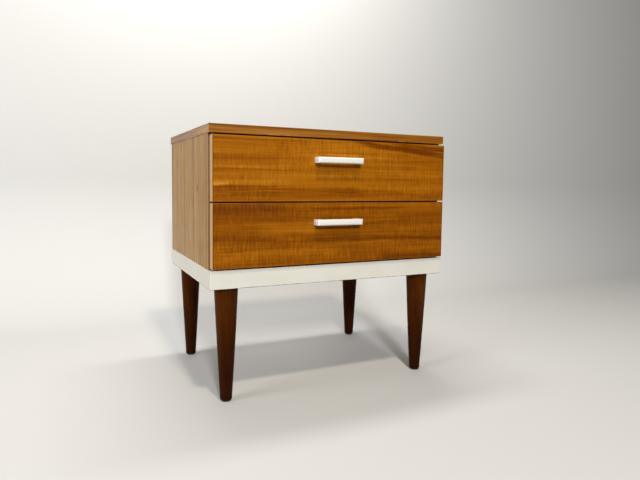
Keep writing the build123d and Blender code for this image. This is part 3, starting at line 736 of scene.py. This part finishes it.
def spun(profile, steps, centre=(0.0, 0.0)):
    """A round bmesh from (radius, height) points that start and end on the axis."""
    bm = bmesh.new()
    corners = [bm.verts.new((centre[0] + radius, centre[1], height)) for radius, height in profile]
    lines = [bm.edges.new(pair) for pair in zip(corners, corners[1:])]
    bmesh.ops.spin(bm, geom=corners + lines, cent=(centre[0], centre[1], 0.0), axis=(0.0, 0.0, 1.0),
                   dvec=(0.0, 0.0, 0.0), angle=2 * math.pi, steps=steps, use_merge=True)
    bmesh.ops.remove_doubles(bm, verts=bm.verts, dist=TOUCHING)
    return bm


def leg_profile(low, high):
    """From the middle of the sole, round the foot, up the swelling taper and across the top."""
    head_radius = (high.x - low.x) / 2
    foot_points = 5
    taper_points = 18
    points = [(0.0, low.z)]
    for index in range(foot_points):
        angle = math.pi / 2 * index / (foot_points - 1)
        points.append((LEG_FOOT_RADIUS - LEG_FOOT_ROUND * (1 - math.sin(angle)),
                       low.z + LEG_FOOT_ROUND * (1 - math.cos(angle))))
    start, end = low.z + LEG_FOOT_ROUND, high.z - LEG_TOP_CHAMFER
    for index in range(1, taper_points + 1):
        part = index / taper_points
        radius = LEG_FOOT_RADIUS + (head_radius - LEG_FOOT_RADIUS) * part + LEG_SWELL * 4 * part * (1 - part)
        points.append((min(radius, head_radius), start + (end - start) * part))
    points.append((head_radius - LEG_TOP_CHAMFER, high.z))
    points.append((0.0, high.z))
    return points


def turned_leg(corner, material):
    node = f"{corner}_leg"
    low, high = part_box(node)
    centre = ((low.x + high.x) / 2, (low.y + high.y) / 2)
    bm = spun(leg_profile(low, high), LEG_STEPS, centre)
    piece = new_piece(f"{corner}_turned_leg", bm, material)
    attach(piece, "carcass")
    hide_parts(node)


def cut_slot(bm, crown):
    """A screwdriver slot across the head, whose top faces lie above crown."""
    for x in (-SLOT_WIDTH / 2, SLOT_WIDTH / 2):
        cut_through(bm, (x, 0.0, 0.0), X_AXIS)
    floor = [
        face for face in bm.faces
        if abs(face.calc_center_median().x) < SLOT_WIDTH / 2 and face.normal.z > 0.3
        and face.calc_center_median().z > crown
    ]
    pull_out(bm, floor, (0.0, 0.0, -SLOT_DEPTH))


def pan_head_screw(shank_radius, length):
    """Stands on the origin, head up. The underside of the head is at height 0."""
    r, h = PAN_HEAD_RADIUS, PAN_HEAD_HEIGHT
    shank = [(0.0, -length), (shank_radius * 0.4, -length), (shank_radius, -length * 0.94), (shank_radius, 0.0)]
    head = [(r, 0.0), (r, h * 0.42), (r * 0.94, h * 0.66), (r * 0.80, h * 0.86), (r * 0.55, h), (0.0, h)]
    bm = spun(shank + head, SCREW_STEPS)
    cut_slot(bm, h * 0.5)
    return bm


def countersunk_screw(length):
    """Stands on the origin, head up. The flat of the head is at height 0."""
    r, s = PLINTH_SCREW_HEAD, PLINTH_SCREW_RADIUS
    shank = [(0.0, -length), (s * 0.3, -length), (s, -length * 0.9), (s, -(r - s))]
    head = [(r, -0.0002), (r * 0.97, 0.0), (0.0, 0.0)]
    bm = spun(shank + head, SCREW_STEPS)
    cut_slot(bm, -0.0001)
    return bm


def screw_group(name, node, body, one_screw, places, turn, material):
    """Copies of one screw at its places, each with its slot turned its own way, as one piece."""
    template = bpy.data.meshes.new(name + "_template")
    bmesh.ops.recalc_face_normals(one_screw, faces=one_screw.faces)
    one_screw.to_mesh(template)
    one_screw.free()
    bm = bmesh.new()
    for index, place in enumerate(places):
        before = len(bm.verts)
        bm.from_mesh(template)
        bm.verts.ensure_lookup_table()
        slot_turn = Matrix.Rotation(math.radians(SLOT_TURN + SLOT_TURN_STEP * index), 4, "Z")
        bmesh.ops.transform(bm, matrix=Matrix.Translation(place) @ turn @ slot_turn, verts=bm.verts[before:])
    bpy.data.meshes.remove(template)
    piece = new_piece(name, bm, material)
    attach(piece, body)
    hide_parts(node)


def drawer_screws(drawer, kind, shank_radius, material):
    """Pan-head screws at the corners of the CAD group's box, heads towards the inside of the drawer."""
    node = f"{drawer}_drawer_{kind}"
    low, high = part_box(node)
    inside = high.y - PAN_HEAD_HEIGHT
    xs = (low.x + PAN_HEAD_RADIUS, high.x - PAN_HEAD_RADIUS)
    rows = {round(low.z + PAN_HEAD_RADIUS, 5), round(high.z - PAN_HEAD_RADIUS, 5)}   # one row if they agree
    zs = sorted(rows)
    places = [Vector((x, inside, z)) for x in xs for z in zs]
    screw = pan_head_screw(shank_radius, inside - low.y)
    turn = Matrix.Rotation(math.radians(-90), 4, "X")
    screw_group(f"{drawer}_slotted_{kind}", node, f"{drawer}_drawer", screw, places, turn, material)


def plinth_screws(material):
    """Countersunk screws in the corner blocks, heads down."""
    node = "plinth_screws"
    low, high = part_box(node)
    inset = PLINTH_SCREW_HEAD
    xs = (low.x + inset, high.x - inset)
    ys = (low.y + inset, high.y - inset)
    places = [Vector((x, y, low.z)) for x in xs for y in ys]
    screw = countersunk_screw(high.z - low.z)
    turn = Matrix.Rotation(math.radians(180), 4, "X")
    screw_group("slotted_plinth_screws", node, "carcass", screw, places, turn, material)


# ---------------------------------------------------------------- giving the CAD pieces their finish
def paint(material, *names):
    for name in names:
        nodes[name].data.materials[0] = material


def paint_veneers():
    for drawer, streaks, contrast, shade, seed in (
        ("upper", upper_front_streaks, 0.95, 0.15, (0.31, 0.02, 0.0)),
        ("lower", lower_front_streaks, 0.70, -0.11, (1.72, 0.47, 0.0)),
    ):
        front = f"{drawer}_drawer_front"
        low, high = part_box(front)
        long_edges = (low - PAST_ENDS, high + PAST_ENDS)
        paint(veneer(f"{drawer}_front_veneer", ALONG_X_UPRIGHT, WALNUT, seed, streak_width=0.013,
                     streaks=contrast, lines=0.75, ripple=0.38, shade=shade, laid=streaks(low.z),
                     roughness=0.42, edges_of=long_edges, constants={"Specular IOR Level": 0.07}), front)
    for side in ("left", "right"):
        panel = f"{side}_side_panel"
        laid = left_panel_streaks(*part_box(panel)) if side == "left" else ()
        paint(veneer(f"{side}_panel_veneer", ALONG_Z, PALE_TAN, (0.4, 0.3 if side == "left" else 2.1, 0.0),
                     streak_width=0.015, streaks=2.1, lines=1.9, shade=0.05, laid=laid, raw_edge="Y",
                     constants={"Specular IOR Level": 0.15}), panel)
    paint(veneer("top_veneer", ALONG_X, TOP_WALNUT, (0.2, 1.4, 0.0), streak_width=0.030, streaks=1.2,
                 ripple=0.4, raw_edge="Y"), "top_board")
    paint(veneer("top_front_edging", ALONG_X_UPRIGHT, DARK_WALNUT, (0.6, 0.9, 0.0), streak_width=0.006,
                 streaks=2.2, lines=1.3, shade=0.15, edges_of=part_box("top_front_edging"),
                 laid=top_edge_streaks(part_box("top_front_edging")[0].z),
                 constants={"Specular IOR Level": 0.2}), "top_front_edging")
    for side in ("left", "right"):
        strip = f"top_{side}_edging"
        paint(veneer(strip, ALONG_Y_UPRIGHT, TOP_WALNUT, (2.6, 0.2, 0.0), streak_width=0.006,
                     streaks=2.8, lines=2.0, shade=-0.10, edges_of=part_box(strip)), strip)
        # the side panels' front edgings: dark brown, partly painted gap shade
        edging = f"{side}_side_front_edging"
        paint(veneer(edging, ALONG_Z_FACING, BROWN_EDGING_WITH_GAP_SHADE, (0.1, 0.7, 0.0), streak_width=0.006,
                     edges_of=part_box(edging)), edging)
    pale = veneer("pale_end_edging", ALONG_Z, PALE_EDGING, (0.9, 0.4, 0.0), streak_width=0.008, streaks=0.9)
    for drawer in ("upper", "lower"):
        paint(pale, f"{drawer}_drawer_front_left_edging", f"{drawer}_drawer_front_right_edging")
    paint(veneer("bottom_board_veneer", ALONG_X, SEALED_BOARD, (0.7, 2.2, 0.0), streak_width=0.022,
                 roughness=0.5), "bottom_board")


def paint_base_and_inside():
    for turn, names in ((ALONG_X_UPRIGHT, ("front", "back")), (ALONG_Y_UPRIGHT, ("left", "right"))):
        for name in names:
            rail = f"plinth_{name}_rail"
            paint(white_lacquer(f"white_lacquer_{name}", turn, rail), rail)
    for drawer, seed in (("upper", 0.0), ("lower", 1.3)):
        across = beech(f"{drawer}_box_end_beech", ALONG_X_UPRIGHT, X_AXIS, (seed, 0.2, 0.0), 1.04)
        back = beech(f"{drawer}_box_side_beech", ALONG_Y_UPRIGHT, Y_AXIS, (seed, 0.8, 0.0), 1.04)
        paint(across, f"{drawer}_drawer_inner_front", f"{drawer}_drawer_back")
        paint(back, f"{drawer}_drawer_left_side", f"{drawer}_drawer_right_side")
        runner = beech(f"{drawer}_runner_beech", ALONG_Y_UPRIGHT, Y_AXIS, (seed, 1.9, 0.0), 0.86)
        paint(runner, f"{drawer}_left_runner", f"{drawer}_right_runner")
    blocks = beech("block_beech", ALONG_X, X_AXIS, (0.5, 0.5, 0.0), 0.80)
    paint(blocks, *[f"{corner}_corner_block" for corner in CORNERS], "top_dowels", "bottom_dowels")
    paint(hardboard("back_hardboard", True), "back_panel")
    paint(hardboard("drawer_hardboard", False), "upper_drawer_bottom", "lower_drawer_bottom")
    paint(glide_brown(), *[f"{corner}_glide" for corner in CORNERS])


# ---------------------------------------------------------------- floor, light and camera
SWEEP_FRONT = -1.4
SWEEP_BACK = 0.95
SWEEP_HALF_WIDTH = 3.2
SWEEP_HEIGHT = 2.6
SWEEP_BEND = 0.45
SWEEP_BEND_STEPS = 24


def pale_sweep():
    """A plain floor that curves up into a plain backdrop."""
    bm = bmesh.new()
    line = [(SWEEP_FRONT, 0.0), (SWEEP_BACK, 0.0), (SWEEP_BACK, SWEEP_HEIGHT)]
    corners = [bm.verts.new((-SWEEP_HALF_WIDTH, y, z)) for y, z in line]
    edges = [bm.edges.new(pair) for pair in zip(corners, corners[1:])]
    grown = bmesh.ops.extrude_edge_only(bm, edges=edges)["geom"]
    moved = [item for item in grown if isinstance(item, bmesh.types.BMVert)]
    bmesh.ops.translate(bm, vec=(2 * SWEEP_HALF_WIDTH, 0.0, 0.0), verts=moved)
    fold = [
        edge for edge in bm.edges
        if all(abs(vert.co.y - SWEEP_BACK) < TOUCHING and vert.co.z < TOUCHING for vert in edge.verts)
    ]
    soften(bm, fold, SWEEP_BEND, SWEEP_BEND_STEPS)
    material, net = new_material("sweep_pale")
    bounced = net.put("LightPath").outputs["Is Diffuse Ray"]
    surface(net, net.blend(bounced, rgb(0.66, 0.655, 0.645), rgb(0.40, 0.385, 0.355)), 0.75)
    sweep = new_piece("pale_sweep", bm, material, 60.0)


def area_light(name, towards, direction, distance, size, watts, colour):
    """A square soft light, seen from the object in a direction, and aimed back at it."""
    lamp = bpy.data.lights.new(name, "AREA")
    lamp.shape = "SQUARE"
    lamp.size = size
    lamp.energy = watts
    lamp.color = colour
    light = bpy.data.objects.new(name, lamp)
    aim = Vector(direction).normalized()
    light.location = Vector(towards) + aim * distance
    light.rotation_euler = aim.to_track_quat("Z", "Y").to_euler()
    bpy.context.scene.collection.objects.link(light)
    return light


def light_scene():
    middle = (0.0, -0.1, 0.38)
    area_light("window", middle, (-0.26, -1.0, 0.44), 4.4, 0.42, 109.0, (0.985, 1.0, 1.03))
    area_light("ceiling", middle, (-0.12, -0.60, 1.0), 2.6, 0.20, 29.0, (1.0, 0.90, 0.70))
    area_light("left_fill", middle, (-1.0, -0.16, 0.35), 2.8, 1.2, 30.0, (0.97, 0.985, 1.0))
    backdrop = (0.1, SWEEP_BACK, 0.5)
    wash = area_light("backdrop_wash", backdrop, (0.0, -0.42, 1.0), 1.7, 1.0, 20.0, (1.0, 0.99, 0.97))
    wash.data.shape = "RECTANGLE"
    wash.data.size_y = 0.3
    world = bpy.data.worlds.new("soft_room")
    world.use_nodes = True
    background = world.node_tree.nodes["Background"]
    background.inputs["Color"].default_value = rgb(0.93, 0.96, 1.0)
    background.inputs["Strength"].default_value = 0.07
    bpy.context.scene.world = world
    bpy.context.scene.view_settings.view_transform = "Standard"


CAMERA_PLACE = Vector((-0.52097, -1.14633, 0.43508))
CAMERA_TURNS = (25.2546, -3.9425, 0.6355)   # degrees of yaw, pitch and roll
CAMERA_SENSOR = 36.0                        # millimetres
CAMERA_LENS = 29.758                        # millimetres
CAMERA_SHIFT = (0.01485, -0.03104)


def place_camera():
    """Stands left of the chest, about as high as its upper drawer, and looks slightly down."""
    yaw, pitch, roll = (math.radians(turn) for turn in CAMERA_TURNS)
    forward = Vector((math.sin(yaw) * math.cos(pitch), math.cos(yaw) * math.cos(pitch), math.sin(pitch)))
    level_right = forward.cross(Vector((0.0, 0.0, 1.0))).normalized()
    level_up = level_right.cross(forward)
    right = math.cos(roll) * level_right + math.sin(roll) * level_up
    up = math.cos(roll) * level_up - math.sin(roll) * level_right
    axes = Matrix((right, up, -forward)).transposed().to_4x4()
    lens = bpy.data.cameras.new("camera")
    lens.sensor_width = CAMERA_SENSOR
    lens.lens = CAMERA_LENS
    lens.shift_x, lens.shift_y = CAMERA_SHIFT
    camera = bpy.data.objects.new("camera", lens)
    camera.matrix_world = Matrix.Translation(CAMERA_PLACE) @ axes
    bpy.context.scene.collection.objects.link(camera)
    bpy.context.scene.camera = camera


# ---------------------------------------------------------------- making
place_camera()
light_scene()
pale_sweep()
paint_veneers()
paint_base_and_inside()

steel = zinc_steel()
paint(steel, "back_panel_nails", "runner_screws", "leg_bolts", "leg_insert_nuts")
handle_material = handle_white()
for drawer_name in ("upper", "lower"):
    bar_handle(drawer_name, handle_material)
    drawer_screws(drawer_name, "handle_screws", HANDLE_SCREW_RADIUS, steel)
    drawer_screws(drawer_name, "front_screws", FRONT_SCREW_RADIUS, steel)
plinth_screws(steel)
leg_material = leg_stain()
for corner_name in CORNERS:
    turned_leg(corner_name, leg_material)
